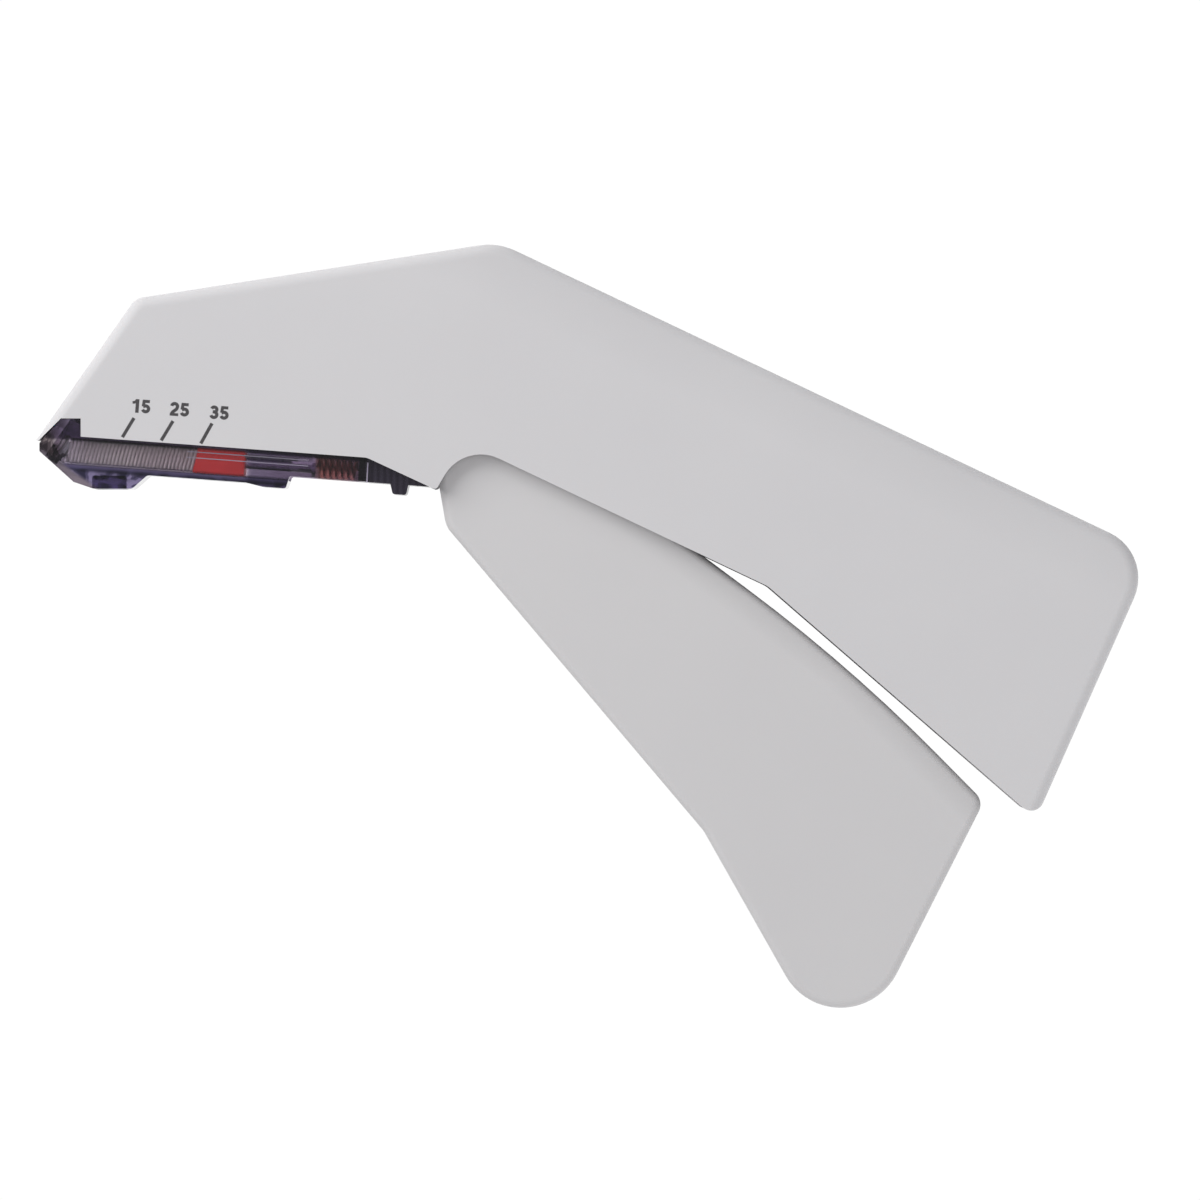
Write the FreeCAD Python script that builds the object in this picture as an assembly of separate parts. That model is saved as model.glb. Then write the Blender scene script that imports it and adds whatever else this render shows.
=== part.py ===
import FreeCAD, Part
import math
import os

# Skin stapler lying on its right side, in millimetres.
# +X runs from the nose to the heel of the handle, +Y from the trigger to the back
# of the handle, and +Z through the thickness, away from the resting face.
# The origin is on the resting face, straight below the trigger's pivot axis.
V = FreeCAD.Vector

# Housing thickness, walls and clearances
body_width = 20.0
wall = 1.8
outer_round = 1.7
seam_edge = 0.25
root = 0.1
press_gap = 0.01
fit_gap = 0.05
loose_gap = 0.3
past = 4.0
beyond = 90.0

# Housing outline: each straight edge has a direction of its outward normal
# and a distance from the pivot axis
front_normal = 145.0
front_reach = 35.66
brow_normal = 98.8
brow_reach = 22.75
back_normal = 64.6
back_reach = 34.28
heel_normal = -23.96
heel_reach = 119.77
under_normal = 229.04
under_reach = -23.25
grip_depth = 29.27
knuckle_normal = -30.0
knuckle_reach = 17.7
tail_normal = 245.1
tail_reach = 3.43
magazine_tilt = 4.2
sill_reach = 5.33
front_corner_round = 2.4
brow_round = 9.3
heel_round = 7.5
toe_round = 2.0
grip_round = 4.0
knuckle_round = 6.3
knuckle_end_round = 0.6
tail_round = 2.0
inner_round = 0.8

# Notch at the nose, measured from the corner between the front face and the sill
notch_height = 2.28
notch_rear_setback = 6.06
notch_front_setback = 3.06
strip_drop = 1.15
strip_end = 0.45

# Pegs, ribs and stations along the back of the housing
peg_radius = 1.5
peg_depth = 4.0
peg_boss_radius = 3.0
peg_inset = 5.5
heel_peg_inset = 4.1
heel_peg_rise = 30.4
stop_place = 18.5
rib_thickness = 1.2
rib_depth = 4.5
station_count = 9
first_station_share = 0.42
peg_every = 4

# Staples
staple_crown = 12.7
staple_leg = 3.8
staple_wire = 0.545
staple_pitch = 0.565
staple_count = 34
staple_lean = 9.8
crown_depth = 0.2
crown_gap = 0.15
stack_gap = 0.17

# Magazine
magazine_side_gap = 0.2
track_depth = 4.3
floor_thickness = 0.75
magazine_rise = 0.6
ledge_depth = 0.75
ledge_width = 0.6
tab_recess = 0.45
tab_gap = 0.1
tip_ahead = 0.22
tip_drop = 1.36
exit_drop = 2.5
exit_lean = 6.97
exit_wall = 0.8
chin_normal = 251.1
chin_setback = 4.92
chin_depth = 7.23
chin_drop = 8.24
chin_length = 13.7
chin_rear_normal = 311.3
pocket_setback = 7.6
pocket_length = 5.2
pocket_depth = 6.26
pocket_width = 9.0
chin_round = 1.5
foot_round = 0.8
small_round = 0.4
rim_slope = 0.4
exit_slot_height = 2.0
latch_place = 6.95
latch_length = 3.9
latch_slope = 2.6
latch_depth = 5.5
latch_draft = 0.5
latch_round = 1.0
mouth_depth = 3.6

# Lid of the magazine and the steel rails under the crowns
cover_thickness = 0.8
cover_side_gap = 0.3
cover_setback = 3.15
keel_setback = 1.55
rail_setback = 3.75
rail_thickness = 0.5
rail_inset = 0.8
rail_middle_gap = 1.32
rail_start = 2.1
cover_start = 3.1
hold_start = 2.0
hold_length = 15.0

# Rear cap of the magazine
cap_side_gap = 0.5
cap_rise = 0.5
cap_tail = 10.1
cap_end_slant = 0.4
cap_end_round = 0.15
nub_place = 3.5
nub_length = 2.7
nub_taper = 0.35
nub_depth = 5.15
plug_length = 2.7
seat_inset = 0.7

# Follower, its stem and its spring
follower_length = 7.0
follower_nose = 3.9
follower_top = 0.3
follower_foot = 4.1
follower_edge = 0.3
follower_rail_gap = 0.15
stem_radius = 0.88
stem_depth = 2.0
flange_radius = 1.5
flange_thickness = 0.6
spring_length = 6.6
spring_radius = 1.3
spring_wire = 0.45
spring_turns = 6.5

# Driver, which slides parallel to the front face
driver_inset = 3.26
driver_thickness = 0.6
driver_side_gap = 0.05
driver_margin = 0.5
driver_fork_depth = 2.5
pocket_front_gap = 0.9
carrier_side = 0.4
carrier_brow_gap = 0.61
carrier_behind = 3.95
carrier_above = 0.6
carrier_below = 3.27
plate_above_pin = 1.53
arm_slot_gap = 0.44
slot_play = 0.35

# Anvil and the leaf spring behind it
anvil_width = 6.8
anvil_thickness = 0.6
anvil_lip = 0.7
anvil_lip_reach = 0.5
anvil_side_gap = 0.4
anvil_round = 0.2
ejector_thickness = 0.25
ejector_width = 3.0
ejector_lift = 1.4
ejector_bend = 0.6

# Trigger lever and its arm
pivot_radius = 1.5
pin_skin = 0.9
hub_radius = 3.4
boss_radius = 3.2
boss_gap = 0.2
trigger_side_gap = 0.7
trigger_wall = 1.8
trigger_edge = 1.2
pin_setback = 3.54
squeeze_angle = 13.2
arm_width = 5.0
arm_side_gap = 0.6
arm_tip_radius = 1.9
arm_root_half = 3.0
drive_pin_radius = 0.9
throat_normal = 252.15
throat_inset = 0.69
trigger_front_normal = 189.9
trigger_front_reach = -12.9
finger_normal = 220.23
finger_reach = -1.82
lower_normal = 209.5
lower_reach = -17.12
rear_normal = -26.86
rear_reach = 112.16
top_rear_normal = 44.6
top_rear_reach = 28.63
top_front_normal = 53.3
top_front_reach = 16.23
shoulder_start = 20.0
shoulder_end = 38.1
hub_top_normal = 87.8
hollow_front_normal = 165.84
hollow_front_reach = -23.74
knee_round = 4.0
finger_round = 6.0
lobe_radius = 9.5
rear_corner_round = 2.4
top_round_share = 0.66
hollow_round = 1.5
lever_rib_count = 4
lever_rib_pitch = 14.0
lever_rib_end = 6.4
lever_rib_slope = 15.64

# Sections in each turn of a coil
coil_sections = 16

# Torsion spring round the pivot boss
return_radius = 4.1
return_wire = 0.7
return_pitch = 0.85
return_turns = 2
return_extra_angle = 20.0
return_leg = 10.0
return_seat_gap = 0.25
return_top_gap = 0.5
return_side_gap = 0.8
post_radius = 1.0
post_place = 8.5

half_width = body_width / 2
track_normal = 270 - magazine_tilt


def direction(angle):
    return (math.cos(math.radians(angle)), math.sin(math.radians(angle)))


def line(normal, reach):
    """A straight line: the direction of its normal and its distance from the pivot."""
    return (normal, reach)


def through(normal, point):
    """The line with a given normal through a point."""
    nx, ny = direction(normal)
    return (normal, nx * point[0] + ny * point[1])


def meet(first, second):
    """The point where two lines cross."""
    ax, ay = direction(first[0])
    bx, by = direction(second[0])
    turn = ax * by - ay * bx
    x = (first[1] * by - second[1] * ay) / turn
    y = (ax * second[1] - bx * first[1]) / turn
    return (x, y)


def between(first, second):
    """The line through two points."""
    heading = math.degrees(math.atan2(second[1] - first[1], second[0] - first[0]))
    return through(heading - 90, first)


def inward(edge, distance):
    return (edge[0], edge[1] - distance)


def corner(first, second, radius=0):
    point = meet(first, second)
    return (point[0], point[1], radius)


def in_frame(normal, out, along):
    """A point at a distance out along a normal and along the direction left of it."""
    nx, ny = direction(normal)
    return (nx * out - ny * along, ny * out + nx * along)


def along_of(normal, point):
    """How far a point lies along the direction left of a normal."""
    nx, ny = direction(normal)
    return nx * point[1] - ny * point[0]


def across(out, down):
    """A point in the driver's frame: distance from the pivot, distance down the slide."""
    return in_frame(front_normal, out, down)


def track(forward, depth):
    """A point in the magazine's frame: forward from the pivot, depth below the sill."""
    return in_frame(track_normal, sill_reach + depth, -forward)


def track_line(depth):
    """The line along the magazine at a depth below the sill."""
    return line(track_normal, sill_reach + depth)


def upright(x):
    """The line along Y at a given X."""
    return line(0, x)


def level(y):
    """The line along X at a given Y."""
    return line(90, y)


def rounded(corners):
    """A closed wire through corners (x, y, radius), each rounded by its own arc."""
    edges = []
    starts = []
    ends = []
    arcs = []
    count = len(corners)
    for i in range(count):
        before = V(*corners[i - 1][:2], 0)
        here = V(*corners[i][:2], 0)
        after = V(*corners[(i + 1) % count][:2], 0)
        radius = corners[i][2] if len(corners[i]) > 2 else 0
        back_way = (before - here).normalize()
        ahead = (after - here).normalize()
        half = back_way.getAngle(ahead) / 2
        if radius == 0:
            starts.append(here)
            ends.append(here)
            arcs.append(None)
            continue
        tangent = radius / math.tan(half)
        middle = (back_way + ahead).normalize() * (radius / math.sin(half) - radius)
        starts.append(here + back_way * tangent)
        ends.append(here + ahead * tangent)
        arcs.append(here + middle)
    for i in range(count):
        if arcs[i] is not None:
            edges.append(Part.Arc(starts[i], arcs[i], ends[i]).toShape())
        following = starts[(i + 1) % count]
        if (following - ends[i]).Length > 1e-6:
            edges.append(Part.makeLine(ends[i], following))
    return Part.Wire(edges)


def prism(corners, bottom, top):
    face = Part.Face(rounded(corners))
    face.translate(V(0, 0, bottom))
    return face.extrude(V(0, 0, top - bottom))


def centred(corners, width):
    """A prism of a given width, centred on the middle plane of the stapler."""
    return prism(corners, half_width - width / 2, half_width + width / 2)


def disc(point, radius, bottom, top):
    return Part.makeCylinder(radius, top - bottom, V(point[0], point[1], bottom))


def track_band(rear, ahead, upper, lower):
    """Corners of a straight band in the magazine's frame."""
    return [track(rear, upper), track(ahead, upper), track(ahead, lower), track(rear, lower)]


def slide_band(inner, outer, top, bottom):
    """Corners of a straight band in the driver's frame."""
    return [across(inner, top), across(outer, top), across(outer, bottom), across(inner, bottom)]


def mirrored(shape):
    """The same shape on the other side of the middle plane."""
    return shape.mirror(V(0, 0, half_width), V(0, 0, 1))


def outer_edges(shape, height):
    """The edges of a prism that lie at one height and don't reach its open lower end."""
    picked = []
    for edge in shape.Edges:
        box = edge.BoundBox
        flat = abs(box.ZMin - height) < 1e-6 and abs(box.ZMax - height) < 1e-6
        if flat and box.YMax > root - beyond:
            picked.append(edge)
    return picked


def export(shape, name):
    shape.exportStep("parts/" + name + ".step")


# Lines of the housing outline
front = line(front_normal, front_reach)
brow = line(brow_normal, brow_reach)
back = line(back_normal, back_reach)
heel = line(heel_normal, heel_reach)
under = line(under_normal, under_reach)
belly = line(back_normal + 180, grip_depth - back_reach)
knuckle = line(knuckle_normal, knuckle_reach)
tail = line(tail_normal, tail_reach)
sill = track_line(0)
open_end = level(-beyond)

# The corner of the nose and the notch beside it
nose_x, nose_y = meet(front, sill)
notch_top = nose_y + notch_height
notch_rear = nose_x + notch_rear_setback
notch_front = nose_x + notch_front_setback
tab_top = (notch_front + tab_gap, notch_top - tab_gap)
tip_top = (nose_x - tip_ahead, nose_y - tip_drop)

# Lines of the trigger outline
throat = line(throat_normal, hub_radius - throat_inset)
trigger_front = line(trigger_front_normal, trigger_front_reach)
finger_edge = line(finger_normal, finger_reach)
lower_edge = line(lower_normal, lower_reach)
rear_edge = line(rear_normal, rear_reach)
top_rear = line(top_rear_normal, top_rear_reach)
top_front = line(top_front_normal, top_front_reach)
hub_top = line(hub_top_normal, hub_radius - fit_gap)
hollow_front = line(hollow_front_normal, hollow_front_reach)

# The gentle bend of the lever's top edge reaches a share of the way to its rear corner
top_bend = meet(top_rear, top_front)
top_rear_length = math.dist(top_bend, meet(rear_edge, top_rear))
half_turn = math.radians(top_front_normal - top_rear_normal) / 2
top_round = top_round_share * top_rear_length / math.tan(half_turn)

# Widths, from the middle plane or from the inside of a shell's wall
magazine_width = body_width - 2 * (wall + magazine_side_gap)
magazine_inside = staple_crown + 2 * crown_gap
trigger_width = body_width - 2 * (wall + trigger_side_gap)
driver_width = staple_crown - 2 * driver_side_gap
carrier_width = driver_width - 2 * carrier_side
coil_height = return_pitch * (return_turns + return_extra_angle / 360)
hub_low = wall + return_seat_gap + return_wire + coil_height + return_top_gap
hub_high = body_width - hub_low
boss_top = hub_low - boss_gap
arm_side = half_width - arm_width / 2 - arm_side_gap

# The driver's slide and the pin that moves it
driver_reach = front_reach - driver_inset
driver_face = line(front_normal, driver_reach - driver_thickness / 2 - loose_gap)
carrier_outer = front_reach - wall - loose_gap
carrier_corner = meet(line(front_normal, carrier_outer), inward(brow, wall + carrier_brow_gap))
carrier_top = along_of(front_normal, carrier_corner)
driver_top = carrier_top + carrier_above
pin_down = driver_top + plate_above_pin
pin_out = driver_reach - pin_setback
arm_length = math.hypot(pin_out, pin_down)
arm_angle = math.degrees(math.atan2(pin_down, pin_out))
stroke = arm_length * math.sin(math.radians(arm_angle + squeeze_angle)) - pin_down
exit_depth = along_of(front_normal, (nose_x, nose_y)) + exit_drop
driver_foot = exit_depth - driver_margin - stroke
carrier_foot = pin_down + carrier_below
carrier_inner = pin_out - carrier_behind
pocket_front = line(front_normal, driver_reach + pocket_front_gap)

# Depths and places along the magazine
cover_top = -magazine_rise - cover_thickness
rail_top = crown_depth + staple_wire + fit_gap
rail_bottom = rail_top + rail_thickness
rail_half = staple_crown / 2 - staple_wire - rail_inset
rail_gap_half = stem_radius + rail_middle_gap
floor_top = track_line(track_depth)
floor_outside = track_line(track_depth + floor_thickness)
crown_line = track_line(crown_depth)
stack_front = -along_of(track_normal, meet(driver_face, crown_line)) - stack_gap
stack_rear = stack_front - staple_count * staple_pitch
rail_front = stack_front - rail_setback
mouth_x = meet(tail, sill)[0]
spring_seat = seat_inset - mouth_x
flange_place = spring_seat + spring_length
rail_rear = flange_place + flange_thickness + rail_start
cover_rear = flange_place + flange_thickness + cover_start
lean_slope = math.tan(math.radians(staple_lean))


def stations():
    """Evenly spaced places along the back edge, for pegs and for the ribs between them."""
    start = -along_of(back_normal, meet(brow, back))
    end = -along_of(back_normal, meet(back, heel))
    step = (end - start) / station_count
    return [start + step * (i + first_station_share) for i in range(station_count - 1)]


def peg_points():
    """Centres of the pegs that join the two shells. The first one also stops the arm."""
    arm_half = arm_root_half - (arm_root_half - arm_tip_radius) * stop_place / arm_length
    stop_distance = peg_boss_radius + arm_half + loose_gap
    points = [in_frame(front_normal + arm_angle, stop_place, -stop_distance)]
    for place in stations()[::peg_every]:
        points.append(in_frame(back_normal, back_reach - peg_inset, -place))
    toe_place = along_of(heel_normal, meet(heel, under))
    points.append(in_frame(heel_normal, heel_reach - heel_peg_inset, toe_place + heel_peg_rise))
    return points


def housing_outline():
    """Corners of the side view of the housing, without the notch at the nose."""
    low = level(nose_y - past)
    return [
        corner(front, low),
        corner(front, brow, front_corner_round),
        corner(brow, back, brow_round),
        corner(back, heel, heel_round),
        corner(heel, under, toe_round),
        corner(under, belly, grip_round),
        corner(belly, knuckle, knuckle_round),
        corner(knuckle, tail, knuckle_end_round),
        corner(tail, sill, tail_round),
        corner(sill, upright(notch_rear)),
        corner(upright(notch_rear), low),
    ]


def housing_blank():
    """The outside of the right half: long outer edge rounded, a fine bevel at the seam."""
    corners = [
        corner(front, open_end),
        corner(front, brow, front_corner_round),
        corner(brow, back, brow_round),
        corner(back, heel, heel_round),
        corner(heel, open_end),
    ]
    block = prism(corners, 0, half_width)
    block = block.makeFillet(outer_round, outer_edges(block, 0))
    block = block.makeChamfer(seam_edge, outer_edges(block, half_width))
    return block.common(prism(housing_outline(), -past, half_width + past))


def cavity():
    """The hollow between the side walls, open along the whole lower side."""
    corners = [
        corner(inward(front, wall), inward(brow, wall), inner_round),
        corner(inward(brow, wall), inward(back, wall), brow_round - wall),
        corner(inward(back, wall), inward(heel, wall), heel_round - wall),
        corner(inward(heel, wall), open_end),
        corner(inward(front, wall), open_end),
    ]
    return prism(corners, wall, half_width + past)


def notch():
    """The cut-out at the nose, and everything below the end of the front strip."""
    strip_foot = across(front_reach, along_of(front_normal, (nose_x, nose_y)) + strip_drop)
    low = nose_y - 2 * past
    corners = [
        (notch_front, notch_top),
        (notch_rear, notch_top),
        (notch_rear, low),
        (strip_foot[0] - past, low),
        (strip_foot[0] - past, strip_foot[1]),
        (strip_foot[0] + strip_end, strip_foot[1]),
    ]
    return prism(corners, -past, half_width + past)


def shell_ribs():
    """Stiffening ribs under the back wall, driver guide and magazine hold-down."""
    ribs = []
    places = stations()
    outer = back_reach - wall
    for i in range(len(places)):
        if i % peg_every == 0:
            continue
        left = places[i] - rib_thickness / 2
        right = places[i] + rib_thickness / 2
        corners = [
            in_frame(back_normal, outer + root, -left),
            in_frame(back_normal, outer + root, -right),
            in_frame(back_normal, outer - rib_depth, -right),
            in_frame(back_normal, outer - rib_depth, -left),
        ]
        ribs.append(prism(corners, wall - root, half_width - fit_gap))
    guide_outer = carrier_inner - loose_gap
    guide_top = carrier_top - rib_thickness
    guide_foot = carrier_foot + stroke + rib_thickness / 2
    guide = slide_band(guide_outer - rib_thickness, guide_outer, guide_top, guide_foot)
    ribs.append(prism(guide, wall - root, arm_side))
    hold_rear = cover_rear + hold_start
    hold_top = cover_top - fit_gap
    hold = track_band(hold_rear, hold_rear + hold_length, hold_top - rib_thickness, hold_top)
    ribs.append(prism(hold, wall - root, arm_side))
    return ribs


def shell(extras, holes):
    """One half of the housing with its ribs, bosses and pivot seat, on the resting side."""
    half = housing_blank().cut(cavity()).cut(notch())
    solids = shell_ribs() + extras
    for point in peg_points():
        solids.append(disc(point, peg_boss_radius, wall - root, half_width - fit_gap))
    solids.append(disc((0, 0), boss_radius, wall - root, boss_top))
    half = half.multiFuse(solids).removeSplitter()
    for hole in holes:
        half = half.cut(hole)
    return half.cut(disc((0, 0), pivot_radius + press_gap, pin_skin, half_width))


def right_shell():
    """The shell on the resting side, with the sockets and the post of the return spring."""
    post_y = return_radius - return_wire / 2 - post_radius - fit_gap
    post = disc((-post_place, post_y), post_radius, wall - root, boss_top)
    socket_bottom = half_width - peg_depth - loose_gap
    sockets = []
    for point in peg_points():
        sockets.append(disc(point, peg_radius + fit_gap, socket_bottom, half_width + past))
    return shell([post], sockets)


def left_shell():
    """The mirrored shell, with pegs in place of sockets and no spring post."""
    pegs = []
    for point in peg_points():
        pegs.append(disc(point, peg_radius, wall, half_width + peg_depth))
    return mirrored(shell(pegs, []))


def pivot_pin():
    return disc((0, 0), pivot_radius, pin_skin + fit_gap, body_width - pin_skin - fit_gap)


def nose_side():
    """Outline of the clear magazine, nose first."""
    exit_face = through(front_normal + 90 - exit_lean, across(driver_reach, exit_depth))
    chin = through(chin_normal, (nose_x + chin_setback, nose_y - chin_depth))
    bottom = level(nose_y - chin_drop)
    chin_rear = through(chin_rear_normal, (nose_x + chin_length, nose_y - chin_drop))
    latch_rear = latch_place + latch_length
    return [
        tab_top,
        (*tip_top, small_round),
        corner(upright(tip_top[0]), exit_face, small_round),
        corner(exit_face, chin, small_round),
        corner(chin, bottom, chin_round),
        corner(bottom, chin_rear, foot_round),
        corner(chin_rear, floor_outside, foot_round),
        track(latch_rear + latch_slope, track_depth + floor_thickness),
        (*track(latch_rear, latch_depth), latch_round),
        (*track(latch_place + latch_draft, latch_depth), small_round),
        (*track(latch_place, mouth_depth), small_round),
        meet(track_line(mouth_depth), upright(mouth_x)),
        meet(track_line(-magazine_rise), upright(mouth_x)),
        track(rail_front + rib_thickness, -magazine_rise),
        (notch_rear + rim_slope, notch_top - tab_gap),
    ]


def magazine():
    """Clear moulded body: two sides with a ledge, a floor, the nose with its exit."""
    body = centred(nose_side(), magazine_width)
    pad = [
        tab_top,
        corner(between(tab_top, tip_top), track_line(ledge_depth)),
        corner(track_line(ledge_depth), upright(notch_rear - tab_gap)),
        (notch_rear - tab_gap, notch_top - tab_gap),
    ]
    ledge = track_band(-mouth_x, rail_front + rib_thickness, fit_gap, ledge_depth)
    ledge_span = magazine_width + 2 * ledge_width
    body = body.multiFuse([centred(pad, body_width - 2 * tab_recess), centred(ledge, ledge_span)])
    exit_inside = line(front_normal + 90, exit_depth - exit_wall)
    hollow = [
        meet(pocket_front, level(past)),
        corner(pocket_front, exit_inside),
        corner(exit_inside, floor_top, small_round),
        track(-mouth_x - past, track_depth),
        track(-mouth_x - past, -past),
    ]
    body = body.cut(centred(hollow, magazine_inside))
    slot_rear = driver_face[1] - anvil_thickness - fit_gap
    slot_top = exit_depth - exit_slot_height
    exit_slot = slide_band(slot_rear, pocket_front[1], slot_top, exit_depth + past)
    body = body.cut(centred(exit_slot, magazine_inside))
    pocket_rear = nose_x + pocket_setback + pocket_length
    pocket_top = nose_y - pocket_depth
    pocket = [
        (nose_x + pocket_setback, pocket_top - past),
        (nose_x + pocket_setback, pocket_top, small_round),
        (pocket_rear, pocket_top, small_round),
        (pocket_rear, pocket_top - past),
    ]
    return body.cut(centred(pocket, pocket_width)).removeSplitter()


def magazine_cover():
    """Clear lid on the side walls, with a keel that keeps the crowns on their track."""
    lid_band = track_band(cover_rear, stack_front - cover_setback, cover_top, -magazine_rise)
    lid = centred(lid_band, magazine_width - 2 * cover_side_gap)
    keel = track_band(cover_rear, stack_front - keel_setback, -magazine_rise - root, -fit_gap)
    return lid.fuse(centred(keel, magazine_inside - 2 * fit_gap)).removeSplitter()


def staple_rails():
    """Two steel rails under the crowns, one on each side of the follower's stem."""
    rail = centred(track_band(rail_rear, rail_front, rail_top, rail_bottom), 2 * rail_half)
    gap = track_band(rail_rear - past, rail_front + past, 0, rail_bottom + past)
    return rail.cut(centred(gap, 2 * rail_gap_half))


def anvil_plate():
    """Bent steel plate: it carries the last crowns and ends in the anvil at the exit."""
    rear_face = inward(driver_face, anvil_thickness)
    lip_top = line(front_normal + 90, exit_depth - anvil_lip)
    lip_foot = line(front_normal + 90, exit_depth)
    lip_front = line(front_normal, driver_reach + anvil_lip_reach)
    corners = [
        track(rail_front + fit_gap, rail_top),
        corner(track_line(rail_top), driver_face, anvil_round),
        meet(driver_face, lip_top),
        corner(lip_top, lip_front, anvil_round),
        meet(lip_front, lip_foot),
        meet(rear_face, lip_foot),
        corner(rear_face, track_line(rail_bottom), anvil_round),
        track(rail_front + fit_gap, rail_bottom),
    ]
    return centred(corners, anvil_width)


def ejector_spring():
    """Leaf spring under the anvil plate, which lifts the folded staple off the anvil."""
    outer = inward(driver_face, anvil_thickness + fit_gap)
    inner = inward(outer, ejector_thickness)
    upper = track_line(rail_bottom)
    lower = track_line(rail_bottom + ejector_thickness)
    foot = line(front_normal + 90, exit_depth - ejector_lift)
    corners = [
        track(rail_front + loose_gap, rail_bottom),
        corner(upper, outer, ejector_bend),
        meet(outer, foot),
        meet(inner, foot),
        corner(inner, lower, ejector_bend - ejector_thickness),
        track(rail_front + loose_gap, rail_bottom + ejector_thickness),
    ]
    return centred(corners, ejector_width)


def end_cap():
    """Smoky rear cap: a plug in the magazine's mouth, a tapering tail and a small foot."""
    top = inward(tail, cap_rise)
    cap_front = upright(mouth_x + fit_gap)
    cap_bottom = track_line(mouth_depth + fit_gap)
    nub_bottom = track_line(nub_depth)
    nub_front = mouth_x + nub_place
    nub_rear = nub_front + nub_length
    corners = [
        meet(top, cap_front),
        meet(top, upright(mouth_x + cap_tail - cap_end_slant)),
        corner(cap_bottom, upright(mouth_x + cap_tail), cap_end_round),
        meet(cap_bottom, upright(nub_rear)),
        corner(nub_bottom, upright(nub_rear - nub_taper), small_round),
        corner(nub_bottom, upright(nub_front + nub_taper), small_round),
        meet(cap_bottom, upright(nub_front)),
        meet(cap_bottom, cap_front),
    ]
    tail_piece = centred(corners, magazine_width - 2 * cap_side_gap)
    plug_band = track_band(spring_seat - plug_length, spring_seat, root, mouth_depth - fit_gap)
    plug = centred(plug_band, magazine_inside - 2 * fit_gap)
    return tail_piece.fuse(plug).removeSplitter()


def staple(place):
    """One unformed staple: a crown across the track and two legs that lean forward."""
    swing = staple_leg * lean_slope
    foot = crown_depth + staple_leg
    side_view = [
        track(place, crown_depth),
        track(place + swing, foot),
        track(place + swing - staple_wire, foot),
        track(place - staple_wire, crown_depth),
    ]
    inside_top = crown_depth + staple_wire
    space = track_band(place - past, place + past, inside_top, foot + past)
    body = centred(side_view, staple_crown)
    return body.cut(centred(space, staple_crown - 2 * staple_wire))


def staple_stack():
    """The row of identical staples, as a group of separate solids."""
    staples = []
    for i in range(staple_count):
        staples.append(staple(stack_front - i * staple_pitch))
    return Part.makeCompound(staples)


def loaded_staple():
    """The first staple, waiting under the driver with its legs in the exit."""
    inner = driver_reach - staple_wire / 2
    outer = driver_reach + staple_wire / 2
    foot = exit_depth - exit_wall
    head = foot - staple_leg
    body = centred(slide_band(inner, outer, head, foot), staple_crown)
    space = slide_band(inner - past, outer + past, head + staple_wire, foot + past)
    return body.cut(centred(space, staple_crown - 2 * staple_wire))


def track_rod(rear, ahead, radius):
    """A round bar on the stem's axis."""
    start = track(rear, stem_depth)
    end = track(ahead, stem_depth)
    axis = V(end[0] - start[0], end[1] - start[1], 0)
    return Part.makeCylinder(radius, ahead - rear, V(start[0], start[1], half_width), axis)


def follower():
    """Red block behind the last staple, straddling the rails, bored for its stem."""
    width = magazine_inside - 2 * loose_gap
    rear = stack_rear - follower_length
    corners = [
        track(stack_rear + (follower_top - crown_depth) * lean_slope, follower_top),
        track(stack_rear + (follower_foot - crown_depth) * lean_slope, follower_foot),
        (*track(rear, follower_foot), follower_edge),
        (*track(rear, follower_top), follower_edge),
    ]
    body = centred(corners, width)
    slot_top = rail_top - follower_rail_gap
    slot_width = 2 * rail_half + 2 * loose_gap
    rail_band = track_band(rear - past, stack_rear + past, slot_top, rail_bottom + loose_gap)
    rail_slots = centred(rail_band, slot_width).cut(centred(rail_band, 2 * rail_gap_half - loose_gap))
    nose_foot = rail_bottom + 2 * ejector_thickness + loose_gap
    nose_band = track_band(stack_rear - follower_nose, stack_rear + past, slot_top, nose_foot)
    bore_end = stack_rear - follower_nose - root
    bore = track_rod(rear - past, bore_end, stem_radius + press_gap)
    return body.cut(rail_slots).cut(centred(nose_band, slot_width)).cut(bore)


def follower_stem():
    rod_end = stack_rear - follower_nose - 2 * root
    rod = track_rod(flange_place + root, rod_end, stem_radius)
    flange = track_rod(flange_place, flange_place + flange_thickness, flange_radius)
    return rod.fuse(flange).removeSplitter()


def coil_path(radius, pitch, turns, first_angle, way):
    """Points and headings along a coil about Z, counterclockwise (1) or clockwise (-1)."""
    count = round(turns * coil_sections)
    path = []
    for i in range(count + 1):
        turned = turns * i / count
        angle = math.radians(first_angle) + way * 2 * math.pi * turned
        out = V(math.cos(angle), math.sin(angle), 0)
        heading = V(-out.y, out.x, 0) * (way * 2 * math.pi * radius) + V(0, 0, pitch)
        path.append((out * radius + V(0, 0, pitch * turned), heading))
    return path


def square_wire(path, wire_size):
    """Square wire lofted through a section at each point of a path, across its heading."""
    h = wire_size / 2
    sections = []
    for point, heading in path:
        side = V(0, 0, 1).cross(heading).normalize()
        up = V(heading).normalize().cross(side)
        ring = [point + side * a + up * b for a, b in ((h, h), (-h, h), (-h, -h), (h, -h))]
        sections.append(Part.makePolygon(ring + [ring[0]]))
    return Part.makeLoft(sections, True, True)


def follower_spring():
    """Open coil between the end cap and the stem's flange."""
    length = spring_length - spring_wire - 2 * fit_gap
    path = coil_path(spring_radius, length / spring_turns, spring_turns, 0, 1)
    coil = square_wire(path, spring_wire)
    foot = track(spring_seat + spring_wire / 2 + fit_gap, stem_depth)
    way = direction(180 - magazine_tilt)
    turn = FreeCAD.Rotation(V(0, 0, 1), V(way[0], way[1], 0))
    coil.Placement = FreeCAD.Placement(V(foot[0], foot[1], half_width), turn)
    return coil


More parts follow.
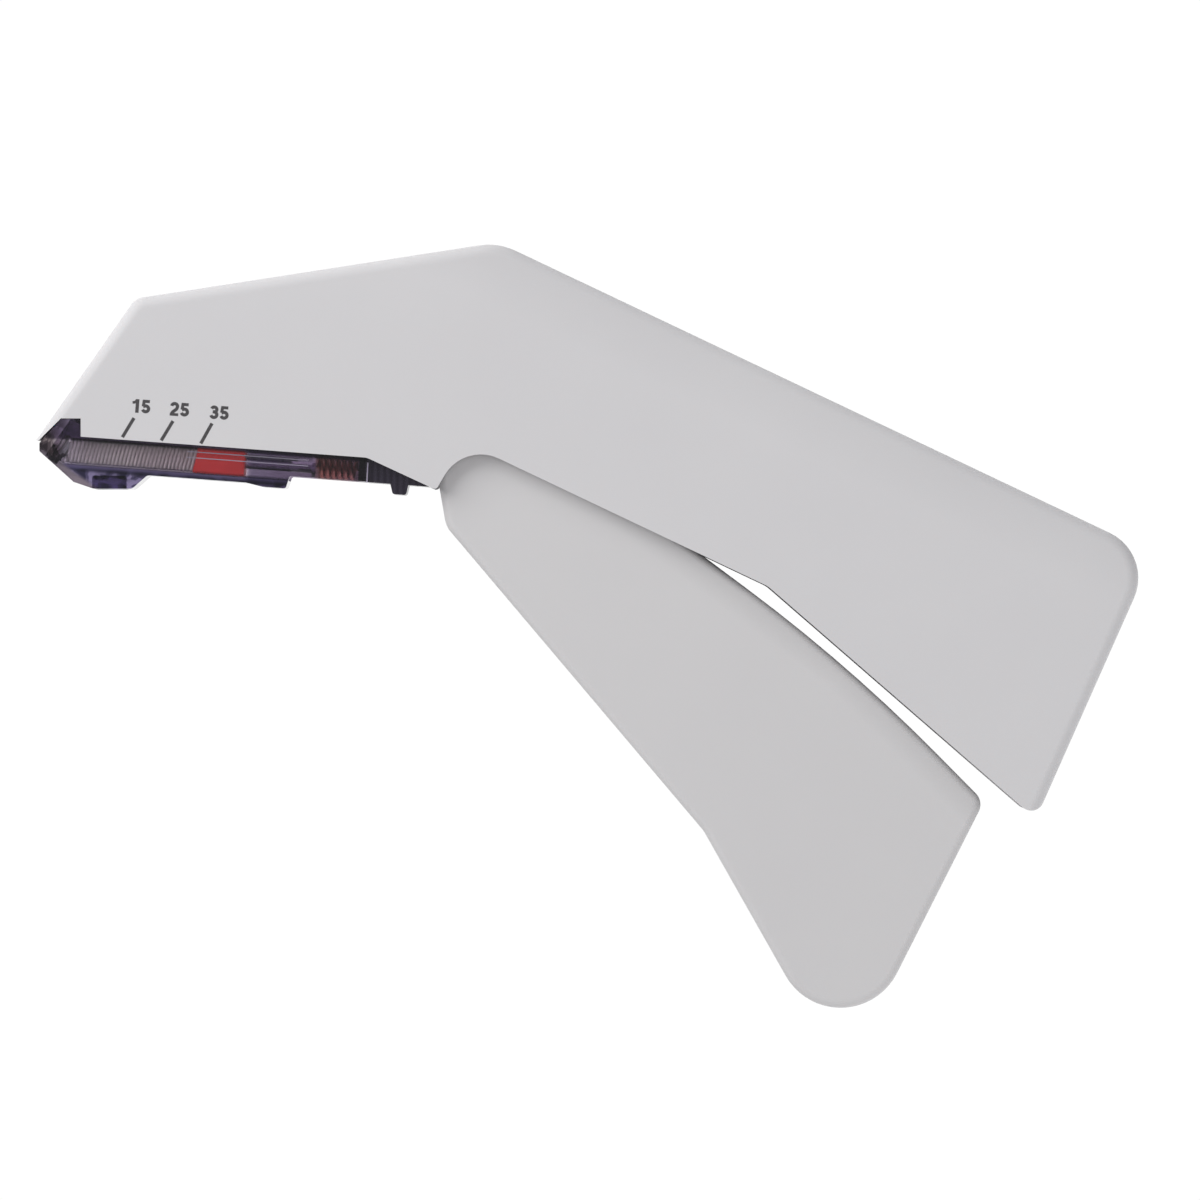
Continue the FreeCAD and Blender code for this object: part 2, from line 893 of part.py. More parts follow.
def return_spring():
    """Torsion spring round the pivot boss: one leg on the post, one in the trigger."""
    path = coil_path(return_radius, return_pitch, coil_height / return_pitch, 90, -1)
    post_way = V(1, 0, 0)
    radial = direction(90 - return_extra_angle)
    leg_way = V(radial[1], -radial[0], 0)
    post_leg = (path[0][0] - post_way * return_leg, post_way)
    trigger_leg = (path[-1][0] + leg_way * return_leg, leg_way)
    spring = square_wire([post_leg] + path + [trigger_leg], return_wire)
    spring.translate(V(0, 0, wall + return_seat_gap + return_wire / 2))
    return spring


def trigger_outline():
    """Side view of the lever: front edge, finger edge, lobe, rear edge, top edge."""
    return [
        corner(upright(0), throat),
        corner(throat, trigger_front),
        corner(trigger_front, finger_edge, knee_round),
        corner(finger_edge, lower_edge, finger_round),
        corner(lower_edge, rear_edge, lobe_radius),
        corner(rear_edge, top_rear, rear_corner_round),
        corner(top_rear, top_front, top_round),
        corner(top_front, upright(shoulder_end)),
        corner(hub_top, upright(shoulder_start)),
        corner(hub_top, upright(0)),
    ]


def trigger_arm():
    """Front arm of the lever, tapering to a rounded tip round the drive pin."""
    angle = front_normal + arm_angle
    corners = [
        in_frame(angle, 0, -arm_root_half),
        in_frame(angle, arm_length, -arm_tip_radius),
        in_frame(angle, arm_length, arm_tip_radius),
        in_frame(angle, 0, arm_root_half),
    ]
    tip = disc(drive_pin_point(), arm_tip_radius, half_width - arm_width / 2, half_width + arm_width / 2)
    return centred(corners, arm_width).fuse(tip)


def drive_pin_point():
    return across(pin_out, pin_down)


def trigger_hollow():
    """The space between the lever's side walls, open along its top edge."""
    finger_inside = inward(finger_edge, trigger_wall)
    lower_inside = inward(lower_edge, trigger_wall)
    rear_inside = inward(rear_edge, trigger_wall)
    above = inward(top_front, -past)
    corners = [
        corner(hollow_front, finger_inside, hollow_round),
        corner(finger_inside, lower_inside, finger_round),
        corner(lower_inside, rear_inside, lobe_radius - trigger_wall),
        corner(rear_inside, above),
        corner(above, hollow_front),
    ]
    return centred(corners, trigger_width - 2 * trigger_wall)


def leg_groove(low):
    """Open groove in the trigger's side for the leg of the torsion spring."""
    angle = 90 - return_extra_angle
    inner = return_radius - return_wire / 2 - loose_gap
    outer = return_radius + return_wire / 2 + fit_gap
    corners = [
        in_frame(angle, inner, 0),
        in_frame(angle, outer, 0),
        in_frame(angle, outer, -return_leg - loose_gap),
        in_frame(angle, inner, -return_leg - loose_gap),
    ]
    return prism(corners, low - past, hub_low + boss_gap)


def trigger_ribs():
    """Cross ribs that tie the two sides of the hollow lever together."""
    ribs = []
    last = along_of(finger_normal, meet(finger_edge, lower_edge)) - lever_rib_end
    foot = finger_reach - trigger_wall + root
    slope = math.tan(math.radians(lever_rib_slope))
    for i in range(lever_rib_count):
        place = last - i * lever_rib_pitch
        left = place - rib_thickness / 2
        right = place + rib_thickness / 2
        head = finger_reach - trigger_wall - slope * place
        corners = [
            in_frame(finger_normal, foot, left),
            in_frame(finger_normal, head, left),
            in_frame(finger_normal, head, right),
            in_frame(finger_normal, foot, right),
        ]
        ribs.append(centred(corners, trigger_width - trigger_wall))
    return ribs


def visible_edges(body, height):
    """The lever's outer edges that show below the housing, without those near its hub."""
    highest = meet(throat, trigger_front)[1] + root
    return [edge for edge in outer_edges(body, height) if edge.BoundBox.YMax < highest]


def trigger():
    """One hollow moulding: open towards the handle, closed on the finger side."""
    low = half_width - trigger_width / 2
    high = half_width + trigger_width / 2
    body = prism(trigger_outline(), low, high)
    body = body.makeFillet(trigger_edge, visible_edges(body, low) + visible_edges(body, high))
    recess_radius = return_radius + return_wire / 2 + return_side_gap
    body = body.cut(disc((0, 0), recess_radius, low - past, hub_low))
    body = body.cut(disc((0, 0), recess_radius, hub_high, high + past))
    body = body.multiFuse([disc((0, 0), hub_radius, hub_low, hub_high), trigger_arm()])
    body = body.cut(trigger_hollow()).cut(leg_groove(low))
    body = body.multiFuse(trigger_ribs())
    body = body.cut(disc((0, 0), pivot_radius + fit_gap, 0, body_width))
    body = body.cut(disc(drive_pin_point(), drive_pin_radius, 0, body_width))
    return body.removeSplitter()


def driver_carrier():
    """White block that holds the driver plate and straddles the trigger's arm."""
    body = centred(slide_band(carrier_inner, carrier_outer, carrier_top, carrier_foot), carrier_width)
    arm_end = pin_out + arm_tip_radius + arm_slot_gap
    gap = slide_band(carrier_inner - past, arm_end, carrier_top - past, carrier_foot + past)
    body = body.cut(centred(gap, arm_width + 2 * carrier_side))
    reach = drive_pin_radius + slot_play
    slot = slide_band(carrier_inner - past, pin_out + reach, pin_down - reach, pin_down + reach)
    body = body.cut(centred(slot, body_width))
    plate_half = driver_thickness / 2 + press_gap
    inner = driver_reach - plate_half
    seat = slide_band(inner, driver_reach + plate_half, driver_top, carrier_foot + past)
    return body.cut(centred(seat, body_width))


def driver_plate():
    """Steel blade with a forked foot that folds the staple round the anvil."""
    inner = driver_reach - driver_thickness / 2
    outer = driver_reach + driver_thickness / 2
    plate = centred(slide_band(inner, outer, driver_top, driver_foot), driver_width)
    fork_top = driver_foot - driver_fork_depth
    fork = slide_band(inner - past, outer + past, fork_top, driver_foot + past)
    return plate.cut(centred(fork, anvil_width + 2 * anvil_side_gap))


def driver_pin():
    half_length = carrier_width / 2 - root
    return disc(drive_pin_point(), drive_pin_radius, half_width - half_length, half_width + half_length)


def build():
    os.makedirs("parts", exist_ok=True)
    export(right_shell(), "right_housing_shell")
    export(left_shell(), "left_housing_shell")
    export(pivot_pin(), "pivot_pin")
    export(return_spring(), "return_spring")
    export(trigger(), "trigger")
    export(driver_pin(), "driver_pin")
    export(driver_carrier(), "driver_carrier")
    export(driver_plate(), "driver_plate")
    export(magazine(), "magazine")
    export(magazine_cover(), "magazine_cover")
    export(staple_rails(), "staple_rails")
    export(anvil_plate(), "anvil_plate")
    export(ejector_spring(), "ejector_spring")
    export(end_cap(), "magazine_end_cap")
    export(staple_stack(), "staple_stack")
    export(loaded_staple(), "loaded_staple")
    export(follower(), "follower")
    export(follower_stem(), "follower_stem")
    export(follower_spring(), "follower_spring")


build()
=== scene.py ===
import bpy
import math
import random
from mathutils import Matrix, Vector


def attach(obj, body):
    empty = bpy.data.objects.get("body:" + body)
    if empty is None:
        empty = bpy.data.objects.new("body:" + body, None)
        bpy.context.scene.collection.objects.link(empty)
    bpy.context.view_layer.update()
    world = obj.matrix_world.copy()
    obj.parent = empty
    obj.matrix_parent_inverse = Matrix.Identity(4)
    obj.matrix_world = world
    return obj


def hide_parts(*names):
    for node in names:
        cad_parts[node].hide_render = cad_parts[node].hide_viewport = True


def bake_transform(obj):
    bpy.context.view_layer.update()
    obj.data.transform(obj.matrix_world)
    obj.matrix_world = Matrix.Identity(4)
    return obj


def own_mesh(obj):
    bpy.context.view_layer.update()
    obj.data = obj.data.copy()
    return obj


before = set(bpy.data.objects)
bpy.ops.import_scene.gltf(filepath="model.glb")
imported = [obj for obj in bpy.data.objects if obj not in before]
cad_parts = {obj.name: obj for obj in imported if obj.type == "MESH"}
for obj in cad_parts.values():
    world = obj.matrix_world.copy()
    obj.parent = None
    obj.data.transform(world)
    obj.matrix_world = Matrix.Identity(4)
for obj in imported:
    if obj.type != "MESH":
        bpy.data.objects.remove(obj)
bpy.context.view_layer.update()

random.seed(35)

MM = 0.001

# The photograph's 1200 px frame: the pivot, the middle and the scale
pivot_px = 340.0
pivot_py = 420.0
middle_px = 600.0
mm_per_px = 0.15

# The plane of the printed side and the middle plane of the stapler
top_face = 20.0 * MM
middle = 10.0 * MM

# Magazine line: its slope and its distance from the pivot
magazine_tilt = 4.2
sill_reach = 5.33 * MM

# The magazine's side that faces the same way as the print
magazine_side = 18.0 * MM

# Staples
staple_crown = 12.7 * MM
staple_leg = 3.8 * MM
staple_wire = 0.545 * MM
staple_pitch = 0.565 * MM
staple_count = 34
staple_lean = 9.8
staple_bend = 0.55 * MM
staple_foot = 0.25 * MM
staple_bend_steps = 5
staple_sides = 10
crown_depth = 0.2 * MM
crown_jitter = 0.03
stack_front = 40.148 * MM

# Driver slide, and how far inside the exit the waiting staple's legs end
front_normal = 145.0
driver_reach = 32.4 * MM
exit_depth = 29.963 * MM
legs_inside = 0.8 * MM

# Stem and spring of the follower
stem_depth = 2.0 * MM
spring_rear = -3.3 * MM
spring_front = 3.3 * MM
spring_radius = 1.22 * MM
spring_wire = 0.6 * MM
spring_turns = 6.5
spring_gap = 0.05 * MM
spring_steps = 28
spring_sides = 8

# Torsion spring round the pivot
return_radius = 4.1 * MM
return_wire = 0.7 * MM
return_pitch = 0.85 * MM
return_turns = 2.0
return_extra_angle = 20.0
return_leg = 10.0 * MM
return_base = 2.4 * MM
return_bend = 0.4 * MM
return_wire_share = 0.98
return_steps = 32
return_sides = 12

# Print: height above the face, thickness of a stroke, and the step from layer to layer
print_lift = 0.012 * MM
print_depth = 0.03 * MM
layer_step = 0.004 * MM
tick_width = 0.5 * MM
digit_height = 13.6 * mm_per_px * MM
digit_wide = 1.22
digit_advance = 0.61
digit_gap = 0.06
sharpest_mitre = 0.5

# Number, the two ends of its tick and the centre of the number, in px of the photograph
scale_marks = (
    ("15", (134.0, 418.0), (122.4, 437.2), (140.6, 406.2)),
    ("25", (173.0, 421.0), (161.2, 440.5), (179.4, 409.4)),
    ("35", (212.0, 423.4), (200.8, 443.5), (219.0, 412.6)),
)

# Painted highlight lines on the magazine's side, where light catches faint ridges of its
# wall: name, depth below the sill and width in mm
highlight_lines = (("highlight_line_upper", 1.02, 0.15), ("highlight_line_lower", 1.90, 0.13))
highlight_front = 22.6 * MM
highlight_rear = 4.3 * MM
line_lift = 0.02 * MM
# Ends and width of a painted highlight on the end of the magazine's rim, where it meets the
# end cap
rim_highlight_ends_px = ((367.6, 462.5), (366.6, 482.0))
rim_highlight_width = 0.2 * MM

# Outline edges with shade painted softly into the colour next to them: angle of the normal,
# distance in mm from the pivot. On the housing it stands for the face rolling away from the
# light by its back edge; on the trigger, for the housing's shadow along its top edges.
housing_shade_edges = ((64.6, 34.28),)
trigger_shade_edges = ((44.6, 28.63), (53.3, 16.23))

# Tints of the magazine by depth below the sill, in mm
magazine_depth_tints = (
    (-2.6, (0.20, 0.17, 0.24)),
    (-0.2, (0.15, 0.12, 0.19)),
    # From the sill to 0.72 mm: the magazine's dark rim, with the shadow of the housing's
    # edge painted into it.
    (0.0, (0.20, 0.16, 0.24)),
    (0.42, (0.22, 0.18, 0.26)),
    (0.72, (0.98, 0.97, 0.98)),
    (3.8, (0.94, 0.92, 0.95)),
    (4.30, (0.10, 0.085, 0.17)),
    (4.9, (0.03, 0.027, 0.065)),
    (5.3, (0.20, 0.175, 0.30)),
    (7.6, (0.26, 0.23, 0.40)),
    (9.0, (0.10, 0.09, 0.17)),
)

# Tints of the magazine by X, in mm
magazine_length_tints = (
    (-46.0, (0.12, 0.10, 0.10)),
    (-43.6, (0.20, 0.165, 0.17)),
    (-42.3, (0.50, 0.44, 0.52)),
    (-41.6, (0.98, 0.95, 1.0)),
    (-38.0, (0.95, 0.92, 0.93)),
    (-14.5, (0.97, 0.90, 0.90)),
    (-13.9, (0.42, 0.38, 0.47)),
    (-4.0, (0.36, 0.31, 0.39)),
    (-3.5, (0.32, 0.21, 0.21)),
    (0.6, (0.28, 0.19, 0.22)),
    (3.6, (0.24, 0.20, 0.26)),
    # From 3.9 mm: lighter, a painted highlight on the end of the magazine's rim.
    (3.9, (0.55, 0.50, 0.62)),
)

# Where the magazine's painted facets of light and shade fade in, in mm: below the sill, and
# ahead of the pivot
chin_start = 4.3
chin_end = 5.0
nose_start = 40.6
nose_end = 41.6

# Where the painted highlight along the exit face fades in, in mm inside that face
exit_highlight_start = 0.8
exit_highlight_end = 0.3

# Part of a noise's range that holds most of its values
noise_low = 0.3
noise_high = 0.7

pure_white = (1.0, 1.0, 1.0)
plastic_ior = 1.5
sharp_angle = 32.0

# Studio, in m and W
world_colour = (0.96, 0.97, 1.0, 1.0)
world_strength = 0.40
light_target = (0.035, -0.03, 0.01)
key_place = (-0.55, 0.52, 0.56)
key_size = (0.9, 0.7)
key_power = 7.4
fill_place = (0.55, -0.80, 0.42)
fill_size = (0.9, 0.6)
fill_power = 3.9
floor_half = 3.0
floor_drop = 0.0002
floor_matt = (0.9, 0.9, 0.9)
floor_glow = 1.02
camera_distance = 1.8
camera_sensor = 36.0
frame_width = 180.0 * MM


def direction(angle):
    return Vector((math.cos(math.radians(angle)), math.sin(math.radians(angle)), 0.0))


def in_frame(normal, out, along):
    """A point in the middle plane, out along a normal and along the direction left of it."""
    n = direction(normal)
    side = Vector((-n.y, n.x, 0.0))
    return n * out + side * along + Vector((0.0, 0.0, middle))


def track(forward, depth):
    """A point in the magazine's frame: forward from the pivot, depth below the sill."""
    return in_frame(270.0 - magazine_tilt, sill_reach + depth, -forward)


def photo_point(px, py, z):
    """A place that the photograph shows at a pixel of its 1200 px frame."""
    return Vector(((px - pivot_px) * mm_per_px * MM, (pivot_py - py) * mm_per_px * MM, z))


# Materials

def maximum(nodes, links, first, second):
    """The larger of two values in a node tree."""
    node = nodes.new("ShaderNodeMath")
    node.operation = "MAXIMUM"
    links.new(first, node.inputs[0])
    links.new(second, node.inputs[1])
    return node.outputs["Value"]


class Shader:
    """A node material with one principled shader and object coordinates."""

    def __init__(self, name, colour, roughness):
        self.material = bpy.data.materials.new(name)
        self.material.use_nodes = True
        self.nodes = self.material.node_tree.nodes
        self.links = self.material.node_tree.links
        self.main = self.nodes["Principled BSDF"]
        self.main.inputs["Base Color"].default_value = (*colour, 1.0)
        self.main.inputs["Roughness"].default_value = roughness
        self.coords = self.nodes.new("ShaderNodeTexCoord").outputs["Object"]

    def set(self, socket, value):
        self.main.inputs[socket].default_value = value

    def stretched(self, stretch):
        """Object coordinates times a factor for each axis."""
        mapping = self.nodes.new("ShaderNodeMapping")
        mapping.inputs["Scale"].default_value = stretch
        self.links.new(self.coords, mapping.inputs["Vector"])
        return mapping.outputs["Vector"]

    def noise(self, scale, detail=3.0, stretch=None):
        node = self.nodes.new("ShaderNodeTexNoise")
        node.inputs["Scale"].default_value = scale
        node.inputs["Detail"].default_value = detail
        source = self.coords if stretch is None else self.stretched(stretch)
        self.links.new(source, node.inputs["Vector"])
        return node.outputs["Fac"]

    def cells(self, scale, stretch):
        """One random value for each cell of a pattern."""
        node = self.nodes.new("ShaderNodeTexVoronoi")
        node.feature = "F1"
        node.inputs["Scale"].default_value = scale
        self.links.new(self.stretched(stretch), node.inputs["Vector"])
        separate = self.nodes.new("ShaderNodeSeparateColor")
        self.links.new(node.outputs["Color"], separate.inputs["Color"])
        return separate.outputs["Red"]

    def spread(self, value, low=0.0, high=1.0):
        """A noise's usual values spread over a range."""
        node = self.nodes.new("ShaderNodeMapRange")
        node.inputs["From Min"].default_value = noise_low
        node.inputs["From Max"].default_value = noise_high
        node.inputs["To Min"].default_value = low
        node.inputs["To Max"].default_value = high
        self.links.new(value, node.inputs["Value"])
        return node.outputs["Result"]

    def along(self, way, low, high):
        """Where a point lies between two distances (mm) along a direction, from 0 to 1."""
        dot = self.nodes.new("ShaderNodeVectorMath")
        dot.operation = "DOT_PRODUCT"
        dot.inputs[1].default_value = tuple(way)
        self.links.new(self.coords, dot.inputs[0])
        node = self.nodes.new("ShaderNodeMapRange")
        node.inputs["From Min"].default_value = low * MM
        node.inputs["From Max"].default_value = high * MM
        self.links.new(dot.outputs["Value"], node.inputs["Value"])
        return node.outputs["Result"]

    def near_edges(self, edges, width):
        """How near the closest outline edge is: 1 at the edge, 0 a width (mm) inside."""
        nearest = None
        for angle, reach in edges:
            value = self.along(direction(angle), reach - width, reach)
            if nearest is None:
                nearest = value
            else:
                nearest = maximum(self.nodes, self.links, nearest, value)
        return nearest

    def bands(self, way, stops):
        """Colours along a direction, at distances in mm."""
        low = stops[0][0]
        high = stops[-1][0]
        ramp = self.nodes.new("ShaderNodeValToRGB")
        marks = ramp.color_ramp.elements
        while len(marks) < len(stops):
            marks.new(0.5)
        for mark, (place, colour) in zip(marks, stops):
            mark.position = (place - low) / (high - low)
            mark.color = (*colour, 1.0)
        self.links.new(self.along(way, low, high), ramp.inputs["Fac"])
        return ramp.outputs["Color"]

    def mix(self):
        node = self.nodes.new("ShaderNodeMix")
        node.data_type = "RGBA"
        return node

    def choose(self, value, first, second):
        """From one colour output to another as a value goes from 0 to 1."""
        node = self.mix()
        self.links.new(first, node.inputs["A"])
        self.links.new(second, node.inputs["B"])
        self.links.new(value, node.inputs["Factor"])
        return node.outputs["Result"]

    def shades(self, value, first, second):
        """From one fixed colour to another as a value goes from 0 to 1."""
        node = self.mix()
        node.inputs["A"].default_value = (*first, 1.0)
        node.inputs["B"].default_value = (*second, 1.0)
        self.links.new(value, node.inputs["Factor"])
        return node.outputs["Result"]

    def times(self, first, second):
        """The product of two colour outputs."""
        node = self.mix()
        node.blend_type = "MULTIPLY"
        node.inputs["Factor"].default_value = 1.0
        self.links.new(first, node.inputs["A"])
        self.links.new(second, node.inputs["B"])
        return node.outputs["Result"]

    def facets(self, scale, stretch, dark):
        """Painted light and shade of flat facets, such as light makes in a thick clear
        moulding.
        """
        return self.shades(self.spread(self.cells(scale, stretch)), dark, pure_white)

    def paint(self, colour):
        self.links.new(colour, self.main.inputs["Base Color"])

    def bump(self, value, strength, distance):
        node = self.nodes.new("ShaderNodeBump")
        node.inputs["Strength"].default_value = strength
        node.inputs["Distance"].default_value = distance
        self.links.new(value, node.inputs["Height"])
        self.links.new(node.outputs["Normal"], self.main.inputs["Normal"])

    def vary_roughness(self, value, low, high):
        self.links.new(self.spread(value, low, high), self.main.inputs["Roughness"])


def moulded_white(name, light, dark, roughness, edges=(), painted_shade_width=0.0, painted_edge_shade=1.0):
    """White moulded plastic: satin grain, faint clouds and sheen, and shade painted softly
    along given outline edges.
    """
    s = Shader(name, light, roughness)
    clouds = s.spread(s.noise(28.0))
    if edges:
        # Painted shade: the colour darkens towards the given outline edges.
        near = s.near_edges(edges, painted_shade_width)
        fade = s.shades(near, pure_white, (painted_edge_shade, painted_edge_shade, painted_edge_shade))
        s.paint(s.times(s.shades(clouds, dark, light), fade))
    else:
        s.paint(s.shades(clouds, dark, light))
    s.vary_roughness(s.noise(140.0, detail=4.0), roughness - 0.05, roughness + 0.05)
    s.bump(s.noise(5200.0, detail=2.0), strength=0.06, distance=0.02 * MM)
    s.set("Specular IOR Level", 0.3)
    s.set("Subsurface Weight", 0.08)
    s.set("Subsurface Radius", (0.6, 0.5, 0.45))
    s.set("Subsurface Scale", 1.2 * MM)
    return s.material


def clear_plastic(name, light, dark, roughness, clearness=1.0):
    """Tinted clear plastic with faint flow streaks and moulding ripples."""
    s = Shader(name, light, roughness)
    streaks = s.noise(260.0, stretch=(0.25, 1.0, 1.0))
    s.paint(s.shades(s.spread(streaks), dark, light))
    s.vary_roughness(streaks, roughness, roughness + 0.06)
    s.bump(s.noise(900.0, detail=2.0), strength=0.05, distance=0.03 * MM)
    s.set("Transmission Weight", clearness)
    s.set("IOR", plastic_ior)
    return s.material


def magazine_plastic():
    """Smoky purple clear plastic: dark where it is deep, clear where its walls are thin and
    over the staple row, partly as painted light; with painted shadow of the housing's edge
    under the sill, painted highlights on the exit face and the rim's end, and painted facets
    of light on the nose and chin.
    """
    s = Shader("clear_purple", (0.6, 0.55, 0.65), 0.06)
    sill = sill_reach / MM
    exit_place = exit_depth / MM
    below_sill = direction(270.0 - magazine_tilt)
    depth_stops = [(sill + place, colour) for place, colour in magazine_depth_tints]
    depth = s.bands(below_sill, depth_stops)
    length = s.bands((1.0, 0.0, 0.0), magazine_length_tints)
    streaks = s.noise(260.0, stretch=(0.25, 1.0, 0.0))
    cloud = s.shades(s.spread(streaks), (0.88, 0.86, 0.89), pure_white)
    # Near white in both tables over the staple row: the wall there is nearly clear, partly
    # as painted light that lets the staples show bright.
    tinted = s.times(s.times(depth, length), cloud)
    facets = s.facets(860.0, (1.0, 1.3, 0.0), (0.10, 0.10, 0.15))
    in_chin = s.along(below_sill, sill + chin_start, sill + chin_end)
    chin = s.choose(in_chin, tinted, s.times(tinted, facets))
    soft_facets = s.facets(760.0, (1.0, 0.7, 0.0), (0.14, 0.12, 0.15))
    in_nose = s.along((-1.0, 0.0, 0.0), nose_start, nose_end)
    nosed = s.choose(in_nose, chin, s.times(chin, soft_facets))
    exit_way = direction(front_normal + 90.0)
    exit_face = s.along(exit_way, exit_place - exit_highlight_start, exit_place - exit_highlight_end)
    # Painted highlight: light refracted along the edge of the sloping exit wall.
    exit_face_highlight = s.shades(s.spread(streaks), (0.06, 0.05, 0.07), (0.22, 0.18, 0.22))
    s.paint(s.choose(exit_face, nosed, exit_face_highlight))
    s.vary_roughness(streaks, 0.05, 0.12)
    s.bump(s.noise(900.0, detail=2.0), strength=0.06, distance=0.03 * MM)
    s.set("Transmission Weight", 1.0)
    s.set("IOR", plastic_ior)
    return s.material


def ribbed_smoke():
    """Deep smoky plastic of the end cap, with faint upright ribs."""
    s = Shader("smoky_purple", (0.05, 0.04, 0.06), 0.22)
    wave = s.nodes.new("ShaderNodeTexWave")
    wave.bands_direction = "X"
    wave.inputs["Scale"].default_value = 330.0
    wave.inputs["Distortion"].default_value = 0.4
    s.links.new(s.coords, wave.inputs["Vector"])
    ribs = wave.outputs["Fac"]
    s.paint(s.shades(ribs, (0.022, 0.017, 0.030), (0.042, 0.035, 0.054)))
    s.vary_roughness(s.noise(500.0), 0.16, 0.28)
    s.bump(ribs, strength=0.12, distance=0.04 * MM)
    s.set("Transmission Weight", 0.25)
    return s.material


def drawn_steel(name, light, dark, roughness, scale, stretch):
    """Steel with fine drawing or rolling lines."""
    s = Shader(name, light, roughness)
    lines = s.noise(scale, detail=4.0, stretch=stretch)
    s.paint(s.shades(s.spread(lines), dark, light))
    s.vary_roughness(lines, roughness - 0.08, roughness + 0.1)
    s.bump(lines, strength=0.08, distance=0.02 * MM)
    s.set("Metallic", 1.0)
    return s.material


def plastic_with_painted_glow(name, light, dark, roughness, glow):
    """Dyed plastic with fine grain, and a weak glow of its own colour that is painted light,
    standing in for lamp light that the clear magazine round it keeps out.
    """
    s = Shader(name, light, roughness)
    s.set("Emission Color", (*light, 1.0))
    s.set("Emission Strength", glow)
    s.paint(s.shades(s.spread(s.noise(160.0, detail=4.0)), dark, light))
    s.vary_roughness(s.noise(420.0), roughness - 0.06, roughness + 0.06)
    s.bump(s.noise(3600.0, detail=2.0), strength=0.08, distance=0.02 * MM)
    return s.material


def print_ink():
    """Dark grey ink, a little uneven."""
    s = Shader("print_ink", (0.05, 0.05, 0.055), 0.55)
    patches = s.spread(s.noise(2400.0))
    s.paint(s.shades(patches, (0.052, 0.048, 0.050), (0.082, 0.076, 0.080)))
    return s.material


# Painted shade along the housing's back edge, standing in for its face rolling gently away
# from the light there.
housing_white = moulded_white(
    "housing_white", (0.696, 0.683, 0.690), (0.676, 0.663, 0.672), 0.56,
    edges=housing_shade_edges, painted_shade_width=9.0, painted_edge_shade=0.945,
)
# Painted shade along the trigger's top edges, standing in for the housing's shadow on them.
trigger_white = moulded_white(
    "trigger_white", (0.668, 0.654, 0.656), (0.650, 0.636, 0.640), 0.58,
    edges=trigger_shade_edges, painted_shade_width=4.5, painted_edge_shade=0.87,
)
inner_white = moulded_white("inner_white", (0.78, 0.78, 0.76), (0.75, 0.75, 0.73), 0.4)
clear_purple = magazine_plastic()
stem_purple = clear_plastic("stem_purple", (0.55, 0.46, 0.60), (0.48, 0.40, 0.54), 0.08)
smoky_purple = ribbed_smoke()
steel = drawn_steel(
    "steel", (0.62, 0.62, 0.63), (0.5, 0.5, 0.52), 0.3, 900.0, (1.0, 1.0, 0.1),
)
wire_steel = drawn_steel(
    "wire_steel", (0.90, 0.86, 0.87), (0.78, 0.74, 0.75), 0.6, 1800.0, (1.0, 1.0, 0.15),
)
spring_steel = drawn_steel(
    "spring_steel", (0.85, 0.50, 0.44), (0.65, 0.34, 0.32), 0.5, 1500.0, (1.0, 1.0, 1.0),
)
# The follower's weak glow is painted light, for the lamp light that the clear magazine keeps
# from it.
follower_red = plastic_with_painted_glow(
    "follower_red", (0.95, 0.030, 0.036), (0.88, 0.022, 0.028), 0.45, glow=0.12,
)
ink = print_ink()
# Pale, partly clear material of the painted highlight lines.
lilac_highlight = clear_plastic(
    "lilac_highlight", (0.66, 0.60, 0.74), (0.56, 0.50, 0.64), 0.3, clearness=0.45,
)


# Mesh helpers

def new_mesh(name, points, faces, material, body=None):
    mesh = bpy.data.meshes.new(name)
    mesh.from_pydata([tuple(p) for p in points], [], faces)
    mesh.update()
    mesh.shade_smooth()
    obj = bpy.data.objects.new(name, mesh)
    bpy.context.scene.collection.objects.link(obj)
    obj.data.materials.append(material)
    if body is not None:
        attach(obj, body)
    return obj


def flat_piece(name, points, faces, material):
    """A piece of the housing with flat shading."""
    obj = new_mesh(name, points, faces, material, "housing")
    obj.data.shade_flat()


def ring_point(centre, side, over, radius, turn):
    """A point on a circle that two directions span."""
    out = centre + side * (radius * math.cos(turn))
    return out + over * (radius * math.sin(turn))


def tube(path, radius, sides, up):
    """Points and faces of a round wire along a path, with flat ends."""
    points = []
    faces = []
    for i, here in enumerate(path):
        ahead = path[min(i + 1, len(path) - 1)] - path[max(i - 1, 0)]
        ahead.normalize()
        side = up.cross(ahead).normalized()
        over = ahead.cross(side).normalized()
        for k in range(sides):
            points.append(ring_point(here, side, over, radius, 2.0 * math.pi * k / sides))
    for i in range(len(path) - 1):
        for k in range(sides):
            a = i * sides + k
            b = i * sides + (k + 1) % sides
            faces.append((a, b, b + sides, a + sides))
    faces.append(tuple(reversed(range(sides))))
    last = (len(path) - 1) * sides
    faces.append(tuple(last + k for k in range(sides)))
    return points, faces


def gather(pieces):
    """Several (points, faces) pairs as one."""
    points = []
    faces = []
    for piece_points, piece_faces in pieces:
        base = len(points)
        points.extend(piece_points)
        faces.extend(tuple(base + i for i in face) for face in piece_faces)
    return points, faces


# Staples and springs of round wire

